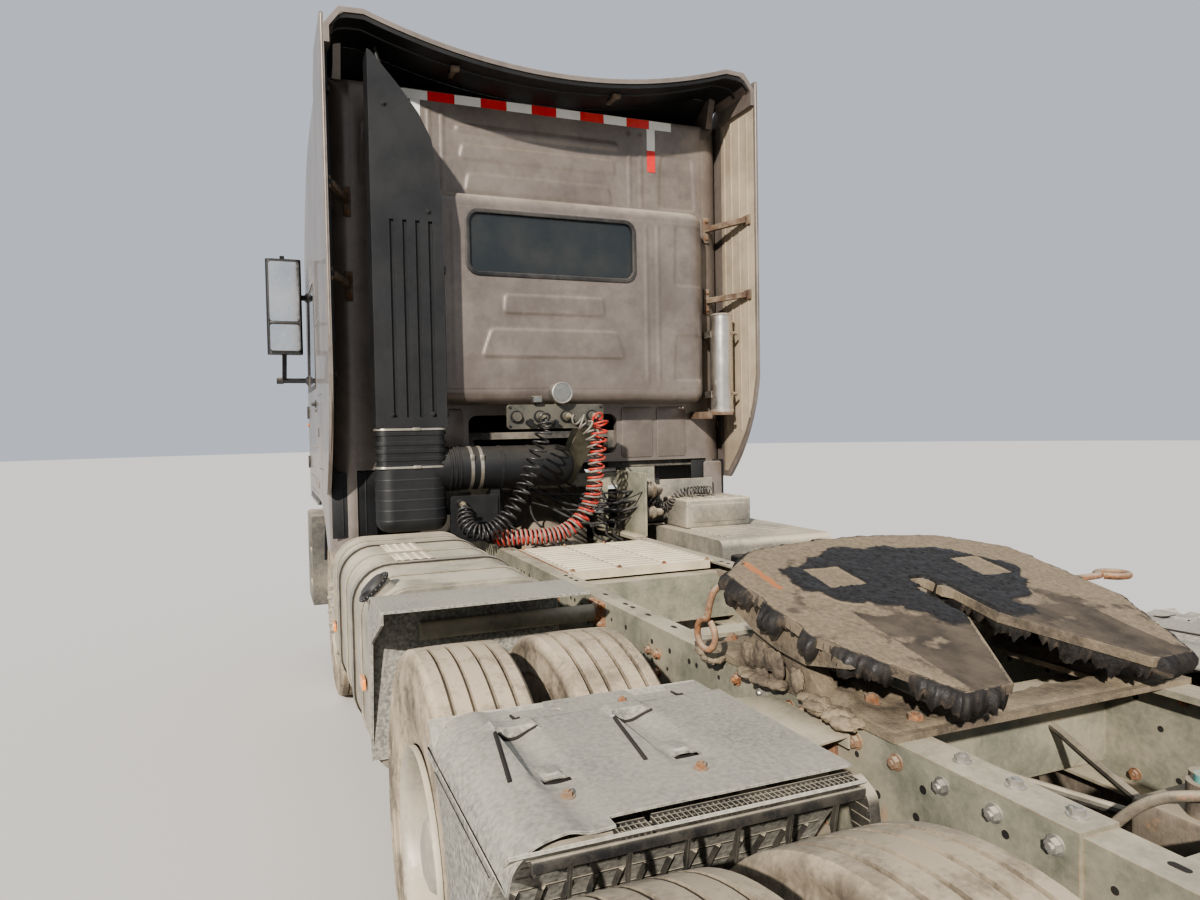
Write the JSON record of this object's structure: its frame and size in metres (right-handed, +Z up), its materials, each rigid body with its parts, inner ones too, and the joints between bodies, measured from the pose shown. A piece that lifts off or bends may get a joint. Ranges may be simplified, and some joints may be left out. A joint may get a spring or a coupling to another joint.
{
  "type": "semi truck tractor unit",
  "caption": "Cab-over sleeper tractor unit with tilting cab, opening doors, steering, twin drive axles, fifth wheel, curly air hoses and tall air intake.",
  "frame": {"origin": "on the ground below the middle of the overall box", "axes": "+X forward, +Y to the vehicle's left, +Z up"},
  "size_m": [6.9999, 2.99, 3.745],
  "materials": {
    "cab_paint": "satin",
    "frame_paint": "matte",
    "trim_grey": "matte",
    "lamp_clear": "gloss",
    "running_gear": "matte",
    "engine_iron": "matte",
    "tank_metal": "satin",
    "box_metal": "satin",
    "black_plastic": "matte",
    "guard_plastic": "matte",
    "coupling_iron": "greasy",
    "deck_metal": "dusty",
    "console_metal": "satin",
    "lamp_red": "gloss",
    "hose_black": "satin",
    "hose_red": "satin",
    "floor_metal": "matte",
    "glass": "gloss",
    "interior_plastic": "matte",
    "seat_fabric": "matte",
    "canister_metal": "satin",
    "wheel_steel": "satin",
    "tyre": "dusty"
  },
  "bodies": {
    "chassis": {"frame_rails": "frame_paint", "frame_cross_members": "frame_paint", "bumper_and_steps": "trim_grey", "headlamps": "lamp_clear", "front_axle": "running_gear", "front_leaf_springs": "running_gear", "drive_axles": "running_gear", "rear_suspension": "running_gear", "engine": "engine_iron", "fuel_tank": "tank_metal", "silencer_and_battery_boxes": "box_metal", "air_reservoirs": "running_gear", "wheel_arch_liners": "black_plastic", "mudguards_front": "guard_plastic", "mudguards_middle": "guard_plastic", "mudguards_rear": "guard_plastic", "mudguard_tubes": "frame_paint", "fifth_wheel_mount": "coupling_iron", "deck_plate": "deck_metal", "rear_portal": "frame_paint", "connection_panel": "console_metal", "air_duct": "black_plastic", "rear_lamps": "lamp_red", "hose_black": "hose_black", "hose_red": "hose_red"},
    "cab": {"cab_back": "cab_paint", "cab_sides": "cab_paint", "cab_roof": "cab_paint", "cab_front": "cab_paint", "cab_floor": "floor_metal", "cab_glass": "glass", "roof_fairing": "cab_paint", "side_extenders": "cab_paint", "air_snorkel": "black_plastic", "canister": "canister_metal", "dashboard": "interior_plastic", "seats": "seat_fabric", "bunk": "seat_fabric"},
    "door_left": {"door_left": "cab_paint", "door_glass_left": "glass", "mirror_left": "black_plastic"},
    "door_right": {"door_right": "cab_paint", "door_glass_right": "glass", "mirror_right": "black_plastic"},
    "fifth_wheel": {"fifth_wheel_plate": "coupling_iron"},
    "knuckle_left": {"knuckle_left": "running_gear"},
    "knuckle_right": {"knuckle_right": "running_gear"},
    "tie_rod": {"tie_rod": "running_gear"},
    "wheel_front_left": {"wheel_front_left": "wheel_steel", "tyre_front_left": "tyre"},
    "wheel_front_right": {"wheel_front_right": "wheel_steel", "tyre_front_right": "tyre"},
    "wheel_drive1_left": {"wheel_drive1_left": "wheel_steel", "tyres_drive1_left": "tyre"},
    "wheel_drive2_left": {"wheel_drive2_left": "wheel_steel", "tyres_drive2_left": "tyre"},
    "wheel_drive1_right": {"wheel_drive1_right": "wheel_steel", "tyres_drive1_right": "tyre"},
    "wheel_drive2_right": {"wheel_drive2_right": "wheel_steel", "tyres_drive2_right": "tyre"}
  },
  "joints": [
    {"name": "cab_tilt", "type": "hinge", "parent": "chassis", "child": "cab", "pos_m": [3.33, 0, 1.12], "axis": [0, 1, 0], "range_deg": [0, 50]},
    {"name": "door_left_swing", "type": "hinge", "parent": "cab", "child": "door_left", "pos_m": [3.056, 1.228, 1.9], "axis": [0, 0, -1], "range_deg": [0, 70]},
    {"name": "door_right_swing", "type": "hinge", "parent": "cab", "child": "door_right", "pos_m": [3.056, -1.228, 1.9], "axis": [0, 0, 1], "range_deg": [0, 70]},
    {"name": "fifth_wheel_tilt", "type": "hinge", "parent": "chassis", "child": "fifth_wheel", "pos_m": [-1.756, 0, 1.2], "axis": [0, 1, 0], "range_deg": [0, 24]},
    {"name": "steer_left", "type": "hinge", "parent": "chassis", "child": "knuckle_left", "pos_m": [2.07, 0.905, 0.542], "axis": [0, 0, 1], "range_deg": [-38, 38]},
    {"name": "steer_right", "type": "hinge", "parent": "chassis", "child": "knuckle_right", "pos_m": [2.07, -0.905, 0.542], "axis": [0, 0, 1], "range_deg": [-38, 38]},
    {"name": "tie_rod_swing", "type": "hinge", "parent": "knuckle_left", "child": "tie_rod", "pos_m": [1.9, 0.905, 0.462], "axis": [0, 0, 1], "range_deg": [-38, 38]},
    {"name": "roll_front_left", "type": "hinge", "parent": "knuckle_left", "child": "wheel_front_left", "pos_m": [2.07, 1.03, 0.542], "axis": [0, 1, 0], "continuous": true},
    {"name": "roll_front_right", "type": "hinge", "parent": "knuckle_right", "child": "wheel_front_right", "pos_m": [2.07, -1.03, 0.542], "axis": [0, 1, 0], "continuous": true},
    {"name": "roll_drive1_left", "type": "hinge", "parent": "chassis", "child": "wheel_drive1_left", "pos_m": [-1.23, 0.91, 0.542], "axis": [0, 1, 0], "continuous": true},
    {"name": "roll_drive1_right", "type": "hinge", "parent": "chassis", "child": "wheel_drive1_right", "pos_m": [-1.23, -0.91, 0.542], "axis": [0, 1, 0], "continuous": true},
    {"name": "roll_drive2_left", "type": "hinge", "parent": "chassis", "child": "wheel_drive2_left", "pos_m": [-2.6, 0.91, 0.542], "axis": [0, 1, 0], "continuous": true},
    {"name": "roll_drive2_right", "type": "hinge", "parent": "chassis", "child": "wheel_drive2_right", "pos_m": [-2.6, -0.91, 0.542], "axis": [0, 1, 0], "continuous": true}
  ],
  "couplings": [
    {"joint": "steer_right", "follows": "steer_left", "ratio": 1},
    {"joint": "tie_rod_swing", "follows": "steer_left", "ratio": -1}
  ]
}
